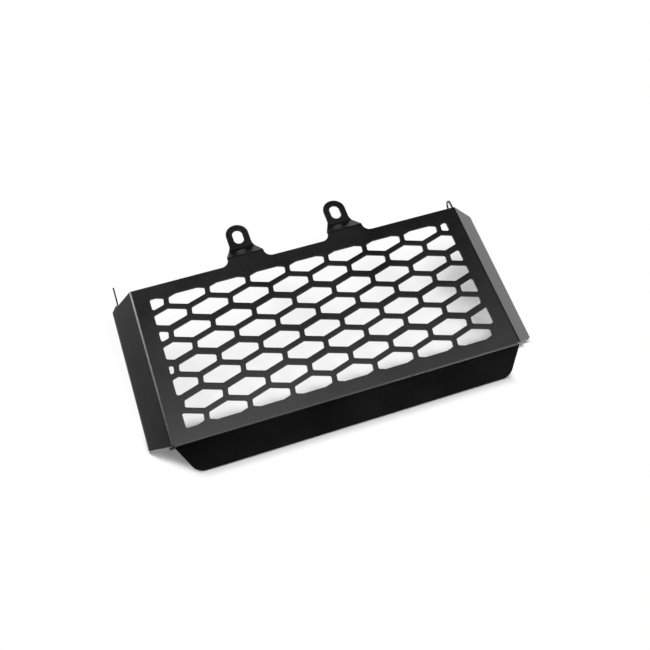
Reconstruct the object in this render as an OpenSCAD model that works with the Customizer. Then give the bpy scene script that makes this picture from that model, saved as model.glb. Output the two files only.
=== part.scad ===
// Radiator guard for a motorcycle, one folded sheet with a leaning honeycomb grille.
// It lies on its back as on a bench: +Z up, +X to its right, +Y towards the top lugs.
// The origin is on the ground, under the middle of the guard.

/* [Sheet] */
// Thickness of the sheet
sheet_t = 1; // [0.8:0.1:1.2]
// Inside radius of every fold
bend_r = 1.5; // [1:0.1:2]

/* [Front panel] */
// Width between the two side folds
panel_w = 220; // [212:1:228]
// Height from the bottom fold to the cut top edge
panel_h = 106.6; // [105:0.2:108]

/* [Grille] */
// Solid border beside the grille, from each side fold
border_side = 10.4; // [8:0.2:12]
// Solid border above the grille
border_top = 9; // [8:0.2:10]
// Solid border below the grille, from the bottom fold
border_bottom = 9.4; // [8:0.2:10]
// Distance between neighbouring cells in a row
cell_pitch = 26.2; // [26:0.1:27]
// Width of the bars between a cell and its neighbours
bar_w = 3.4; // [3.2:0.1:4]
// Slope of a cell's long sides
cell_a = 17.8; // [16:0.2:20]
// Sideways lean of a cell for each millimetre of its height
cell_lean = 0.17; // [0.1:0.01:0.2]
// Radius of a cell's corners
cell_corner = 1.2; // [0.6:0.1:1.5]
// Height from the lower row of a pair to the upper one
row_close = 11.2; // [11:0.1:12]
// Height from a pair's upper row to the next pair
row_wide = 12; // [12:0.1:12.4]
// Number of rows of cells
rows = 8; // [6:2:8]
// Sideways lean of the stacked rows for each millimetre of height
row_lean = 0.118; // [0.1:0.002:0.13]
// Sideways place of the pattern from the middle of the panel
pattern_x = -3.1; // [-4:0.1:-2]
// Height of the pattern from the middle of the panel
pattern_y = 0.15; // [0:0.05:0.5]
// Narrowest cut cell that is kept at a border
cell_least = 2; // [1.6:0.1:2.4]

/* [Flanges] */
// Angle of the side and bottom flanges to the panel
flange_a = 45; // [42:1:48]
// Angle of the side walls to the panel
wall_a = 88; // [86:0.5:90]
// Width of the side and bottom flanges along their slope
flange_w = 19.5; // [18:0.25:21]
// How far a side flange's upper end drops towards its outer edge
side_top_cut = 3.3; // [2:0.1:4]
// How far a side flange's lower end rises towards its outer edge
side_low_cut = 6.6; // [5:0.1:8]
// How far each end of the bottom flange narrows towards its free edge
bottom_cut = 9; // [7:0.25:11]
// Corner radius of the bottom flange
bottom_corner = 8; // [6:0.25:9]
// Depth of the side wall behind the flange at its lower end
wall_low = 2.8; // [2.2:0.1:3]
// Radius of the relief cuts at the ends of the folds
relief_r = 0.8; // [0.6:0.1:1.2]

/* [Lugs] */
// Radius of a top lug's rounded end
lug_r = 7.5; // [7:0.1:8]
// Width of the slot in each lug
slot_w = 6.6; // [6:0.1:7]
// Length of the slot in each lug
slot_l = 10.4; // [9.5:0.1:11]
// Slope of the step in each lug
step_a = 35; // [30:1:40]
// Distance between the two top lugs
lug_gap = 67.5; // [60:0.5:75]
// Height of a top lug from the panel's top edge to the middle of its rounded end
lug_rise = 25; // [24:0.5:27]
// Set-back of the top lugs behind the panel
lug_drop = 6; // [5:0.25:6.5]
// Height above the top edge where a top lug starts to step back
lug_step_y = 4.8; // [4.6:0.1:5.4]
// Width of a top lug at its foot
lug_foot_w = 24; // [22:0.5:26]
// Height above the top edge where the foot starts to narrow
lug_narrow_y = 6.4; // [6:0.1:7]
// Height above the top edge where the lug has its full narrowness
lug_neck_y = 16.8; // [16:0.1:17.5]
// Radius in the corners between the panel's edge and a lug's foot
foot_corner = 5; // [3:0.5:5]
// Radius in the corners between a lug's foot and its neck
neck_corner = 6; // [3:0.5:6]

/* [Rear lugs] */
// Radius of a rear lug's rounded end
rear_lug_r = 4.6; // [4.5:0.1:6]
// Height of a rear lug's rounded end above the middle of the panel
rear_lug_y = 71.3; // [70:0.1:72]
// Depth of a rear lug's middle behind the panel
rear_lug_z = 28.8; // [28:0.1:30]
// Set-in of the rear lugs from the side walls
rear_drop = 4; // [3:0.25:5]
// Height above the side wall where a rear lug starts to step in
rear_step_y = 1.5; // [1:0.1:2]
// Width from a rear lug's middle to the front edge of its foot
rear_foot = 10.5; // [10:0.1:11]
// Width from a rear lug's middle to the rear corner that the guard rests on
rear_heel = 7.5; // [7:0.1:8]
// Height above the side wall where a rear lug's foot starts to narrow
rear_narrow_y = 6; // [5:0.1:7]
// Height above the side wall where a rear lug has its full narrowness
rear_neck_y = 13; // [12:0.1:14]
// Radius in the corner between the side wall's end and a rear lug
rear_corner = 3; // [2:0.1:3.4]
// Height above the side wall where its rear edge meets the rear lug
rear_edge_y = 10; // [9:0.1:11]

/* [Hidden] */
$fn = 64;
// Most of a side that the corner at one of its ends takes up
corner_share = 0.45;
// Arcs stand this little proud of the flat faces and straight edges they join, to meet them cleanly
blend = 0.0005;
sheet_colour = [0.06, 0.06, 0.065];

outer_r = bend_r + sheet_t;
half_w = panel_w / 2;
half_h = panel_h / 2;
// Distance from a fold's sharp corner to the end of its curve
fold_cut = outer_r * tan(flange_a / 2);
flat_x = half_w - fold_cut;
flat_y = half_h - fold_cut;
flange_flat = flange_w - fold_cut - outer_r * tan((wall_a - flange_a) / 2);
flange_run = flange_w * cos(flange_a);
flange_drop = flange_w * sin(flange_a);
// Depth behind the front face of the middle of the fold between flange and side wall
wall_fold_z = outer_r + flange_flat * sin(flange_a);
wall_top_y = half_h - side_top_cut;
wall_low_y = side_low_cut - flat_y;

window_x = half_w - border_side;
window_top = half_h - border_top;
window_low = border_bottom - half_h;
pair_pitch = row_close + row_wide;
cell_w = cell_pitch - bar_w;
// Height of a cell between its top and bottom corners, which leaves the bar between close rows
cell_h = row_close + tan(cell_a) * cell_pitch / 2 - bar_w / cos(cell_a);
// Height of a cell's short sides
cell_side = cell_h - tan(cell_a) * cell_w;
pattern_h = (rows / 2 - 1) * pair_pitch + row_close;
columns = ceil(window_x / cell_pitch) + 1;

slot_r = slot_w / 2;
slot_run = slot_l - slot_w;
// Distance of a rear lug's middle from the fold, along the side wall
rear_lug_run = (rear_lug_z - wall_fold_z + (outer_r - rear_drop) * cos(wall_a)) / sin(wall_a);

// The two lines it rests on: the bottom flange's free edge and the rear lugs' corners
rest_y = -half_h - flange_run + sheet_t * sin(flange_a);
rest_z = -flange_drop - sheet_t * cos(flange_a);
rear_rest_z = -rear_lug_z - rear_heel * sin(wall_a) - sheet_t * cos(wall_a);
rest_a = atan((rest_z - rear_rest_z) / (wall_top_y + rear_edge_y - rest_y));
rest_lift = -rest_y * sin(rest_a) - rest_z * cos(rest_a);
// The guard's two ends along Y as it lies, whose middle goes to the origin
end_low = (-half_h - flange_run) * cos(rest_a) + flange_drop * sin(rest_a);
end_top = (half_h + lug_rise + lug_r) * cos(rest_a) + (lug_drop + sheet_t) * sin(rest_a);
// Longer than any flange or lug; sections run on this far and outlines trim them
reach = lug_rise + 2 * lug_r;
// How far a lug's outline runs into the sheet it stands on
overlap = 1;

// Height of a row's middle above the middle of the panel
function row_y(row) =
    pattern_y - pattern_h / 2 + floor(row / 2) * pair_pitch + (row % 2) * row_close;

// Middle of a cell; every second row is shifted by half a cell
function cell_at(row, column) =
    [pattern_x + row_lean * row_y(row) + (column + 0.5 - (row % 2) / 2) * cell_pitch, row_y(row)];

// A point of a cell, leaned over
function lean(x, y) = [x + cell_lean * y, y];

// The six corners of a cell round its middle, anticlockwise
function cell_corners() = [
    lean(cell_w / 2, -cell_side / 2),
    lean(cell_w / 2, cell_side / 2),
    lean(0, cell_h / 2),
    lean(-cell_w / 2, cell_side / 2),
    lean(-cell_w / 2, -cell_side / 2),
    lean(0, -cell_h / 2)
];

// How far a point lies beyond a line given by its outward normal and distance
function beyond(point, normal, distance) = point * normal - distance;

// The part of an outline that lies inside one line
function inside(points, normal, distance) = [
    for (i = [0 : len(points) - 1])
        let (here = points[i])
        let (next = points[(i + 1) % len(points)])
        let (a = beyond(here, normal, distance))
        let (b = beyond(next, normal, distance))
        each concat(a <= 0 ? [here] : [], a * b < 0 ? [here + (next - here) * a / (a - b)] : [])
];

// A cell's outline round its own middle, cut straight where it meets the border
function cell_outline(place) =
    let (right = inside(cell_corners(), [1, 0], window_x - place.x))
    let (left = inside(right, [-1, 0], window_x + place.x))
    let (top = inside(left, [0, 1], window_top - place.y))
    inside(top, [0, -1], place.y - window_low);

// Width of an outline
function width(points) =
    len(points) < 3 ? 0 : max([for (p = points) p.x]) - min([for (p = points) p.x]);

// Direction from one point to another
function towards(from, to) = (to - from) / norm(to - from);

// Half of the inside angle at a corner
function half_angle(before, here, after) =
    acos(towards(here, before) * towards(here, after)) / 2;

// Corner radius that leaves room for the corners beside it
function fit_radius(before, here, after, radius) =
    let (shorter = min(norm(before - here), norm(after - here)))
    min(radius, corner_share * shorter * tan(half_angle(before, here, after)));

// An outline with a true arc at each corner
module rounded(points, radius) {
    count = len(points);
    corners = [
        for (i = [0 : count - 1])
            let (before = points[(i + count - 1) % count])
            let (here = points[i])
            let (after = points[(i + 1) % count])
            let (half = half_angle(before, here, after))
            let (r = fit_radius(before, here, after, radius))
            [
                here + towards(here, before) * r / tan(half),
                here + towards(here, after) * r / tan(half),
                here + towards([0, 0], towards(here, before) + towards(here, after)) * r / sin(half),
                r
            ]
    ];
    polygon([for (corner = corners) each [corner[0], corner[1]]]);
    for (corner = corners) {
        translate(corner[2]) circle(r = corner[3] + blend);
    }
}

// Cross-section of a fold round its centre: the sheet comes from the left and turns down by the angle
module fold_section(angle) {
    far = 2 * outer_r;
    intersection() {
        difference() {
            circle(r = outer_r + blend);
            circle(r = bend_r - blend);
        }
        square(far);
        rotate(-angle) translate([-far, 0]) square(far);
    }
}

// Cross-section of a stretch of sheet that leaves a fold's centre at the angle
module flat_section(angle, length) {
    rotate(-angle) translate([0, bend_r]) square([length, sheet_t]);
}

// Cross-section of a lug: flat, a step back by drop, then flat again; front face up
module step_section(low, start, drop, length) {
    slope = (drop - (outer_r + bend_r) * (1 - cos(step_a))) / sin(step_a);
    translate([low, -sheet_t]) square([start - low, sheet_t]);
    translate([start, -outer_r]) {
        fold_section(step_a);
        flat_section(step_a, slope);
        rotate(-step_a) translate([slope, outer_r + bend_r]) rotate(step_a) {
            rotate(180) fold_section(step_a);
            translate([0, -outer_r]) square([length, sheet_t]);
        }
    }
}

// One side of a lug from its middle line, standing on its foot, with both corners filled
module lug_side(head_r, foot_w, narrow_y, neck_y, low_corner) {
    slope_a = atan((foot_w - head_r) / (neck_y - narrow_y));
    neck_cut = neck_corner * tan(slope_a / 2);
    polygon([[0, -overlap], [foot_w, -overlap], [foot_w, narrow_y], [head_r, neck_y], [0, neck_y]]);
    difference() {
        polygon([
            [head_r, neck_y + neck_cut],
            [0, neck_y],
            [head_r + neck_cut * sin(slope_a), neck_y - neck_cut * cos(slope_a)]
        ]);
        translate([head_r + neck_corner, neck_y + neck_cut]) circle(r = neck_corner + blend);
    }
    difference() {
        translate([foot_w, 0]) square(low_corner);
        translate([foot_w + low_corner, low_corner]) circle(r = low_corner + blend);
    }
}

// A lug's slot, from the middle of its rounded end towards its foot
module slot() {
    circle(r = slot_r);
    translate([-slot_r, -slot_run]) square([slot_w, slot_run]);
    translate([0, -slot_run]) circle(r = slot_r);
}

// A top lug's outline as seen from the front, standing on the panel's top edge
module top_lug_outline() {
    difference() {
        union() {
            for (side = [0, 1]) {
                mirror([side, 0])
                    lug_side(lug_r, lug_foot_w / 2, lug_narrow_y, lug_neck_y, foot_corner);
            }
            translate([-lug_r, lug_neck_y]) square([2 * lug_r, lug_rise - lug_neck_y]);
            translate([0, lug_rise]) circle(r = lug_r + blend);
        }
        translate([0, lug_rise]) slot();
    }
}

// A top lug with its step, standing on the panel's top edge at x = 0
module top_lug() {
    intersection() {
        rotate([90, 0, 90]) linear_extrude(height = 2 * reach, center = true)
            step_section(-overlap, lug_step_y, lug_drop, reach);
        translate([0, 0, -reach]) linear_extrude(height = 2 * reach) top_lug_outline();
    }
}

// The side wall and its rear lug in their plane: X is up the panel, Y is away from the front
module wall_outline() {
    heel_y = wall_top_y + rear_edge_y;
    heel_run = rear_lug_run + rear_heel;
    rear_slope = (heel_run - wall_low) / (heel_y - wall_low_y);
    difference() {
        union() {
            polygon([
                [wall_low_y - overlap, 0],
                [wall_top_y, 0],
                [wall_top_y, rear_lug_run - rear_lug_r],
                [rear_lug_y, rear_lug_run - rear_lug_r],
                [rear_lug_y, rear_lug_run + rear_lug_r],
                [wall_top_y + rear_neck_y, rear_lug_run + rear_lug_r],
                [heel_y, heel_run],
                [wall_low_y - overlap, wall_low - overlap * rear_slope]
            ]);
            translate([wall_top_y, rear_lug_run]) rotate(-90)
                lug_side(rear_lug_r, rear_foot, rear_narrow_y, rear_neck_y, rear_corner);
            translate([rear_lug_y, rear_lug_run]) circle(r = rear_lug_r + blend);
        }
        translate([rear_lug_y, rear_lug_run]) rotate(-90) slot();
    }
}

// Places what is drawn for the side wall, from the end of its fold
module at_wall() {
    translate([flat_x, 0, -outer_r]) rotate([0, flange_a, 0])
        translate([flange_flat, 0, 0]) rotate([0, wall_a - flange_a, 0]) children();
}

// An outline in the wall's plane, carried through the sheet
module through_wall() {
    mirror([1, -1, 0]) linear_extrude(height = reach, center = true) children();
}

// An outline in the side flange's plane, from the fold's sharp corner out, carried through the sheet
module through_flange() {
    translate([half_w, 0, 0]) rotate([0, flange_a, 0])
        linear_extrude(height = 2 * reach, center = true) children();
}

// The wall behind the right side flange, with its stepped rear lug
module side_wall() {
    intersection() {
        rotate([90, 0, 90]) linear_extrude(height = reach) translate([0, outer_r])
            step_section(wall_low_y - overlap, wall_top_y + rear_step_y, rear_drop, reach);
        through_wall() wall_outline();
    }
}

// The right side flange with the folds on both sides of it, cut to length at its upper end
module side_flange() {
    intersection() {
        rotate([90, 0, 0]) linear_extrude(height = panel_h, center = true) {
            translate([flat_x, -outer_r]) {
                fold_section(flange_a);
                flat_section(flange_a, flange_flat);
                rotate(-flange_a) translate([flange_flat, 0]) fold_section(wall_a - flange_a);
            }
        }
        through_flange() polygon([
            [-reach, half_h],
            [0, half_h],
            [flange_w, wall_top_y],
            [reach, wall_top_y],
            [reach, -panel_h],
            [-reach, -panel_h]
        ]);
    }
}

// The whole right side, cut to length at its lower end, with a relief at the wall's upper end
module side() {
    difference() {
        union() {
            side_flange();
            at_wall() side_wall();
        }
        through_flange() polygon([
            [-reach, -flat_y],
            [0, -flat_y],
            [flange_w, wall_low_y],
            [reach, wall_low_y],
            [reach, -panel_h],
            [-reach, -panel_h]
        ]);
        at_wall() through_wall() translate([wall_top_y, 0]) circle(r = relief_r);
    }
}

// The bottom flange's outline in its own plane, from the fold's sharp corner down
module bottom_outline() {
    free_x = flat_x - bottom_cut;
    corner_a = 90 + atan(bottom_cut / flange_w);
    corner_cut = bottom_corner / tan(corner_a / 2);
    lean_x = sin(corner_a - 90);
    lean_y = cos(corner_a - 90);
    polygon([
        [-flat_x, reach],
        [-flat_x, 0],
        [-free_x - corner_cut * lean_x, -flange_w + corner_cut * lean_y],
        [-free_x + corner_cut, -flange_w],
        [free_x - corner_cut, -flange_w],
        [free_x + corner_cut * lean_x, -flange_w + corner_cut * lean_y],
        [flat_x, 0],
        [flat_x, reach]
    ]);
    for (side = [-1, 1]) {
        translate([side * (free_x - corner_cut), bottom_corner - flange_w])
            circle(r = bottom_corner + blend);
    }
}

// The bottom flange and its fold
module bottom_flange() {
    intersection() {
        rotate([90, 0, 270]) linear_extrude(height = panel_w, center = true)
            translate([flat_y, -outer_r]) {
                fold_section(flange_a);
                flat_section(flange_a, flange_w);
            }
        translate([0, -half_h, 0]) rotate([flange_a, 0, 0])
            linear_extrude(height = 2 * reach, center = true) bottom_outline();
    }
}

// All cells of the grille, cut straight at its border
module grille_cells() {
    for (row = [0 : rows - 1]) {
        for (column = [-columns : columns]) {
            place = cell_at(row, column);
            outline = cell_outline(place);
            if (width(outline) > cell_least) {
                translate(place) rounded(outline, cell_corner);
            }
        }
    }
}

// The flat front panel with its grille, front face at z = 0
module panel() {
    translate([0, 0, -sheet_t]) linear_extrude(height = sheet_t) difference() {
        polygon([[-flat_x, -flat_y], [flat_x, -flat_y], [flat_x, half_h], [-flat_x, half_h]]);
        grille_cells();
    }
}

// The whole folded sheet with its panel level
module folded_sheet() {
    difference() {
        union() {
            panel();
            bottom_flange();
            for (side = [0, 1]) {
                mirror([side, 0, 0]) {
                    side();
                    translate([lug_gap / 2, half_h, 0]) top_lug();
                }
            }
        }
        for (side = [0, 1]) {
            mirror([side, 0, 0]) translate([flat_x, -flat_y, 0]) rotate(-45)
                cylinder(r = relief_r, h = reach, center = true);
        }
    }
}

// The guard laid down as it rests
module guard() {
    color(sheet_colour)
        translate([0, -(end_low + end_top) / 2, rest_lift]) rotate([rest_a, 0, 0]) folded_sheet();
}

guard();
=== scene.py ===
import math

import bpy
from mathutils import Matrix, Vector


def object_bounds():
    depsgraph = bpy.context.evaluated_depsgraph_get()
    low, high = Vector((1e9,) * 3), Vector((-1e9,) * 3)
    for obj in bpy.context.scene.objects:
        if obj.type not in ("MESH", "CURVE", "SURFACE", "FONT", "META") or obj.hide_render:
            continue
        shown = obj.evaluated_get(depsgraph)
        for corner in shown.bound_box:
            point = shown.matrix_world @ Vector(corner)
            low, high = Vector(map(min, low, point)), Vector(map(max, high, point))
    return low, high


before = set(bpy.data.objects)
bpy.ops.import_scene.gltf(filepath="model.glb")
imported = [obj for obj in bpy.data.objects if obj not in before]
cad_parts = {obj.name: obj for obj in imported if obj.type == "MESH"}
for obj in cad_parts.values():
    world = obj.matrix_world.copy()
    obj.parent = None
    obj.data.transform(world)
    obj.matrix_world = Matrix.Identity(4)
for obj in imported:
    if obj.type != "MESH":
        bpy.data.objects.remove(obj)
cad_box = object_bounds()
scene = bpy.context.scene

# The photograph's camera: where it stands, where it looks and which way is right, in metres
CAMERA_PLACE = Vector((-0.1035, -0.3107, 0.4479))
CAMERA_FORWARD = Vector((0.1937, 0.5611, -0.8048)).normalized()
CAMERA_RIGHT = Vector((0.9442, -0.3294, -0.0024))
CAMERA_NEAREST = 0.01
SENSOR_MM = 36.0
LENS_MM = 47.28

# Broad soft lamps at a distance: compass direction from +Y towards +X, height above the
# horizon and width in degrees, and strength
LAMPS = {
    # Casts the shadows
    "key": {"turn": -40, "height": 39, "width": 22, "strength": 1.95},
    # Light up the fold of the left flange
    "ridge_high": {"turn": -47, "height": 56, "width": 16, "strength": 0.75},
    "ridge_low": {"turn": -53, "height": 32, "width": 24, "strength": 0.95},
    # Lighten the panel towards its lower edge
    "top": {"turn": 120, "height": 87, "width": 26, "strength": 0.5},
    "side": {"turn": 98, "height": 65, "width": 22, "strength": 0.36},
    # Lights up the fold of the bottom flange
    "edge": {"turn": 138, "height": 56, "width": 14, "strength": 0.42},
    # Graze the two side flanges
    "rim_left": {"turn": -54, "height": 6, "width": 16, "strength": 0.05},
    "rim_right": {"turn": 62, "height": 2, "width": 18, "strength": 0.4},
}
# The dim room that the coat mirrors, and the white that the camera sees
ROOM_COLOUR = (0.012, 0.012, 0.012)
WHITE = (1.0, 1.0, 1.0)

# Satin black powder coat with a faint mottle between two blacks and a fine grain
COAT_COLOURS = ((0.0020, 0.0020, 0.0021), (0.0034, 0.0034, 0.0036))
COAT_ROUGHNESS = (0.24, 0.30)
COAT_SPECULAR = 0.56
MOTTLE = {"per_metre": 28, "detail": 3}
MOTTLE_COLOUR_SPAN = (0.35, 0.65)
MOTTLE_ROUGH_SPAN = (0.3, 0.7)
GRAIN = {"per_metre": 1500, "detail": 2}
GRAIN_HEIGHT = 0.00002
GRAIN_STRENGTH = 0.35
# Edges lighter in colour, partly wear and partly a painted highlight: the radius that rounds them,
# the cosine of the turn from the flat to the rounded surface over which the wear and painted
# highlight set in, and how the mottle breaks them up
EDGE_WEAR_AND_HIGHLIGHT_COLOUR = (0.07, 0.07, 0.07)
EDGE_RADIUS = 0.0004
EDGE_SAMPLES = 6
EDGE_TURN_SPAN = (0.99, 0.75)
EDGE_MOTTLE_SPAN = (0.3, 0.6)
EDGE_LEAST = 0.3
# Painted highlight on the cut ends of the side flanges, a light strip for the light they catch: the
# direction they face, the cosine of the turn from it, and how far outside the guard's sides they
# start, in metres
CUT_END_HIGHLIGHT_COLOUR = (0.5, 0.5, 0.5)
CUT_FACING = (0.0, -0.985, -0.17)
CUT_FACING_SPAN = (0.80, 0.92)
CUT_SIDE_SPAN = (-0.0150, -0.0140)

# White paper
FLOOR_COLOUR = (0.93, 0.93, 0.93)
FLOOR_ROUGHNESS = 0.9
FLOOR_HALF = 3.0
# Plain white evens the paper's shadows where they are looked at, as in the photograph. Each patch
# has its share of white and soft edges. An edge is a distance in metres to the right or left of the
# guard's box, or ahead of it towards the viewer: the white goes from nought at its first number to
# the full share at its second. The floor that shows through the relief cuts stays dark. It lies
# 0.0155 inside the left side, 0.0075 inside the right side and 0.0205 behind the front.
WHITE_NEAR = (
    # In front of the guard, beyond the contact shadow
    {"white": 1.0, "ahead": (0.00175, 0.00645)},
    # Off the bottom flange's right end
    {"white": 1.0, "right": (-0.0265, -0.0205), "ahead": (-0.01925, -0.01725)},
    # Off the right flange's lower end
    {"white": 1.0, "right": (-0.0062, -0.0050), "ahead": (-0.02035, -0.01955)},
    # Right of the guard
    {"white": 1.0, "right": (-0.0035, 0.0015)},
    # Off the bottom flange's left end and the left flange's lower end
    {"white": 0.2, "left": (-0.0395, -0.0245), "ahead": (-0.02025, -0.01925)},
    {"white": 0.2, "left": (-0.0130, -0.0120), "ahead": (-0.02575, -0.02275)},
)
# Under the grille and behind it, less of it towards the right flange
WHITE_FAR = 0.8
SHADE_FAR_RIGHT = {"white": 0.6, "right": (-0.0545, -0.0185), "ahead": (-0.12475, -0.08975)}
WHITE_FAR_RIGHT = {"white": 1.0, "right": (-0.0085, -0.0005)}
# Distance ahead of the guard over which the near patches give way to those under the grille
NEAR_TO_FAR = (-0.02675, -0.03875)

# Sockets of Blender's mix node that share a name
MIX_VALUES = (2, 3)
MIX_COLOURS = (6, 7)
MIX_COLOUR = 2


def add(tree, kind, **settings):
    """A new node with its settings."""
    node = tree.nodes.new(kind)
    for name, setting in settings.items():
        setattr(node, name, setting)
    return node


def feed(tree, socket, source):
    """Gives an input an output of another node, or a plain number."""
    if isinstance(source, (int, float)):
        socket.default_value = source
    else:
        tree.links.new(source, socket)


def noise(tree, place, texture):
    """A noise texture over the object's own space."""
    node = add(tree, "ShaderNodeTexNoise")
    feed(tree, node.inputs["Vector"], place)
    feed(tree, node.inputs["Scale"], texture["per_metre"])
    feed(tree, node.inputs["Detail"], texture["detail"])
    return node.outputs["Fac"]


def ramp(tree, source, span, colours):
    """A colour that goes from one to the other while the source goes over the span."""
    node = add(tree, "ShaderNodeValToRGB")
    for element, place, colour in zip(node.color_ramp.elements, span, colours):
        element.position = place
        element.color = (*colour, 1)
    feed(tree, node.inputs["Fac"], source)
    return node.outputs["Color"]


def arithmetic(tree, operation, first, second):
    """One step of arithmetic on two outputs or numbers."""
    node = add(tree, "ShaderNodeMath", operation=operation)
    feed(tree, node.inputs[0], first)
    feed(tree, node.inputs[1], second)
    return node.outputs[0]


def fade(tree, source, span, ends=(0.0, 1.0), kind="SMOOTHSTEP"):
    """A value that goes from one end to the other while the source goes over the span."""
    node = add(tree, "ShaderNodeMapRange", interpolation_type=kind)
    feed(tree, node.inputs["Value"], source)
    feed(tree, node.inputs["From Min"], span[0])
    feed(tree, node.inputs["From Max"], span[1])
    feed(tree, node.inputs["To Min"], ends[0])
    feed(tree, node.inputs["To Max"], ends[1])
    return node.outputs["Result"]


def blend(tree, share, base, colour):
    """A base colour with a share of another one over it."""
    node = add(tree, "ShaderNodeMix", data_type="RGBA")
    feed(tree, node.inputs["Factor"], share)
    feed(tree, node.inputs[MIX_COLOURS[0]], base)
    node.inputs[MIX_COLOURS[1]].default_value = (*colour, 1)
    return node.outputs[MIX_COLOUR]


def largest(tree, sources):
    """The largest of some values."""
    total = sources[0]
    for source in sources[1:]:
        total = arithmetic(tree, "MAXIMUM", total, source)
    return total


def outside_box(tree, place):
    """How far a place lies to the right and left of the guard's box, and ahead of it."""
    low, high = cad_box
    node = add(tree, "ShaderNodeSeparateXYZ")
    feed(tree, node.inputs[0], place)
    return {
        "right": arithmetic(tree, "SUBTRACT", node.outputs["X"], high[0]),
        "left": arithmetic(tree, "SUBTRACT", low[0], node.outputs["X"]),
        "ahead": arithmetic(tree, "SUBTRACT", low[1], node.outputs["Y"]),
    }


def edge_wear_and_highlight(tree, mottle, rounded, surface):
    """The share of wear and painted highlight: most where an edge is sharp, broken up by the
    mottle.
    """
    facing = add(tree, "ShaderNodeVectorMath", operation="DOT_PRODUCT")
    feed(tree, facing.inputs[0], rounded)
    feed(tree, facing.inputs[1], surface.outputs["Normal"])
    turned = fade(tree, facing.outputs["Value"], EDGE_TURN_SPAN)
    broken = fade(tree, mottle, EDGE_MOTTLE_SPAN, (EDGE_LEAST, 1.0))
    return arithmetic(tree, "MULTIPLY", turned, broken)


def cut_end_highlight(tree, place, surface):
    """One on the cut ends of the side flanges, where a highlight is painted, else nought."""
    facing = add(tree, "ShaderNodeVectorMath", operation="DOT_PRODUCT")
    feed(tree, facing.inputs[0], surface.outputs["True Normal"])
    facing.inputs[1].default_value = CUT_FACING
    toward = fade(tree, facing.outputs["Value"], CUT_FACING_SPAN)
    outside = outside_box(tree, place)
    outwards = largest(tree, [outside["right"], outside["left"]])
    return arithmetic(tree, "MULTIPLY", toward, fade(tree, outwards, CUT_SIDE_SPAN))


def coat_material():
    """Satin black powder coat: fine orange peel, faint mottle, worn edges with a painted highlight,
    and a painted highlight on the cut ends.
    """
    material = bpy.data.materials.new("powder_coat")
    material.use_nodes = True
    tree = material.node_tree
    shader = tree.nodes["Principled BSDF"]
    place = add(tree, "ShaderNodeTexCoord").outputs["Object"]
    mottle = noise(tree, place, MOTTLE)
    surface = add(tree, "ShaderNodeNewGeometry")
    rounded = add(tree, "ShaderNodeBevel", samples=EDGE_SAMPLES)
    rounded.inputs["Radius"].default_value = EDGE_RADIUS

    colour = ramp(tree, mottle, MOTTLE_COLOUR_SPAN, COAT_COLOURS)
    wear_and_highlight = edge_wear_and_highlight(tree, mottle, rounded.outputs[0], surface)
    # Lighter edges: partly wear, partly a painted highlight
    colour = blend(tree, wear_and_highlight, colour, EDGE_WEAR_AND_HIGHLIGHT_COLOUR)
    # Painted highlight: a light colour on the cut ends of the side flanges
    colour = blend(tree, cut_end_highlight(tree, place, surface), colour, CUT_END_HIGHLIGHT_COLOUR)
    feed(tree, shader.inputs["Base Color"], colour)

    rough = fade(tree, mottle, MOTTLE_ROUGH_SPAN, COAT_ROUGHNESS, "LINEAR")
    feed(tree, shader.inputs["Roughness"], rough)

    bump = add(tree, "ShaderNodeBump")
    bump.inputs["Strength"].default_value = GRAIN_STRENGTH
    bump.inputs["Distance"].default_value = GRAIN_HEIGHT
    feed(tree, bump.inputs["Height"], noise(tree, place, GRAIN))
    feed(tree, bump.inputs["Normal"], rounded.outputs[0])
    feed(tree, shader.inputs["Normal"], bump.outputs[0])
    shader.inputs["Specular IOR Level"].default_value = COAT_SPECULAR
    return material


def seen_rays(tree, kinds):
    """One where a ray of one of these kinds arrives, else nought."""
    path = add(tree, "ShaderNodeLightPath")
    return largest(tree, [path.outputs[kind] for kind in kinds])


def patch_share(tree, outside, patch):
    """The share of white that one patch gives at a place."""
    share = patch["white"]
    for side, distance in outside.items():
        if side in patch:
            share = arithmetic(tree, "MULTIPLY", fade(tree, distance, patch[side]), share)
    return share


def floor_white(tree):
    """The share of plain white over the whole floor."""
    outside = outside_box(tree, add(tree, "ShaderNodeTexCoord").outputs["Object"])
    near = largest(tree, [patch_share(tree, outside, patch) for patch in WHITE_NEAR])
    shade = patch_share(tree, outside, SHADE_FAR_RIGHT)
    far = arithmetic(tree, "SUBTRACT", WHITE_FAR, shade)
    far = largest(tree, [far, patch_share(tree, outside, WHITE_FAR_RIGHT)])
    share = add(tree, "ShaderNodeMix")
    feed(tree, share.inputs["Factor"], fade(tree, outside["ahead"], NEAR_TO_FAR))
    feed(tree, share.inputs[MIX_VALUES[0]], near)
    feed(tree, share.inputs[MIX_VALUES[1]], far)
    return share.outputs[0]


def mix_shaders(tree, share, first, second):
    """One shader with a share of another one over it."""
    mix = add(tree, "ShaderNodeMixShader")
    for socket, source in zip(mix.inputs, (share, first, second)):
        feed(tree, socket, source)
    return mix.outputs[0]


def floor_material():
    """White paper that still takes the object's shadow."""
    material = bpy.data.materials.new("paper")
    material.use_nodes = True
    tree = material.node_tree
    shader = tree.nodes["Principled BSDF"]
    shader.inputs["Base Color"].default_value = (*FLOOR_COLOUR, 1)
    shader.inputs["Roughness"].default_value = FLOOR_ROUGHNESS
    shader.inputs["Specular IOR Level"].default_value = 0.0
    white = add(tree, "ShaderNodeEmission")
    seen = seen_rays(tree, ("Is Camera Ray", "Is Glossy Ray", "Is Transmission Ray"))
    share = arithmetic(tree, "MULTIPLY", seen, floor_white(tree))
    mixed = mix_shaders(tree, share, shader.outputs[0], white.outputs[0])
    feed(tree, tree.nodes["Material Output"].inputs["Surface"], mixed)
    return material


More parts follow.
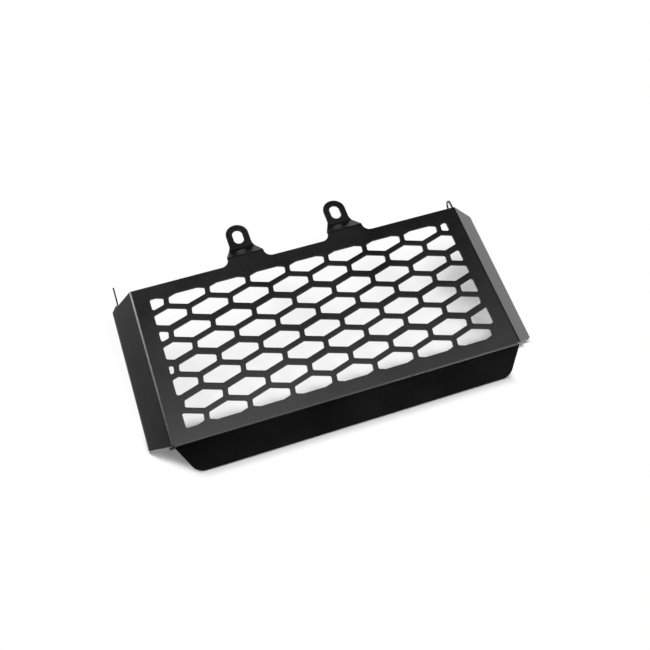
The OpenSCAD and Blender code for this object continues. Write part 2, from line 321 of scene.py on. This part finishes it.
def make_floor():
    """A wide flat sheet of paper under the object."""
    corners = [
        (-FLOOR_HALF, -FLOOR_HALF, 0),
        (FLOOR_HALF, -FLOOR_HALF, 0),
        (FLOOR_HALF, FLOOR_HALF, 0),
        (-FLOOR_HALF, FLOOR_HALF, 0),
    ]
    mesh = bpy.data.meshes.new("floor")
    mesh.from_pydata(corners, [], [range(len(corners))])
    mesh.materials.append(floor_material())
    floor = bpy.data.objects.new("floor", mesh)
    scene.collection.objects.link(floor)


def make_lamp(name, lamp):
    """A distant soft lamp that shines from its direction."""
    data = bpy.data.lights.new(name, "SUN")
    data.energy = lamp["strength"]
    data.angle = math.radians(lamp["width"])
    turn = math.radians(lamp["turn"])
    height = math.radians(lamp["height"])
    level = math.cos(height)
    direction = Vector((math.sin(turn) * level, math.cos(turn) * level, math.sin(height)))
    obj = bpy.data.objects.new(name, data)
    obj.rotation_euler = (-direction).to_track_quat("-Z", "Y").to_euler()
    scene.collection.objects.link(obj)


def make_camera():
    """The camera at the photograph's place and angle."""
    data = bpy.data.cameras.new("camera")
    data.sensor_fit = "HORIZONTAL"
    data.sensor_width = SENSOR_MM
    data.lens = LENS_MM
    data.clip_start = CAMERA_NEAREST
    back = -CAMERA_FORWARD
    right = (CAMERA_RIGHT - CAMERA_RIGHT.dot(back) * back).normalized()
    up = back.cross(right)
    turn = Matrix((right, up, back)).transposed().to_4x4()
    camera = bpy.data.objects.new("camera", data)
    camera.matrix_world = Matrix.Translation(CAMERA_PLACE) @ turn
    scene.collection.objects.link(camera)
    scene.camera = camera


def make_world():
    """A dim room for the coat to mirror, and plain white where the camera sees it."""
    world = bpy.data.worlds.new("studio")
    world.use_nodes = True
    tree = world.node_tree
    room = tree.nodes["Background"]
    room.inputs["Color"].default_value = (*ROOM_COLOUR, 1)
    white = add(tree, "ShaderNodeBackground")
    white.inputs["Color"].default_value = (*WHITE, 1)
    seen = seen_rays(tree, ("Is Camera Ray", "Is Transmission Ray"))
    mixed = mix_shaders(tree, seen, room.outputs[0], white.outputs[0])
    feed(tree, tree.nodes["World Output"].inputs["Surface"], mixed)
    scene.world = world


scene.view_settings.view_transform = "Standard"
make_camera()
make_world()
make_floor()
for lamp_name, lamp in LAMPS.items():
    make_lamp(lamp_name, lamp)

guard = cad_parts["guard"]
guard.data.materials.clear()
guard.data.materials.append(coat_material())
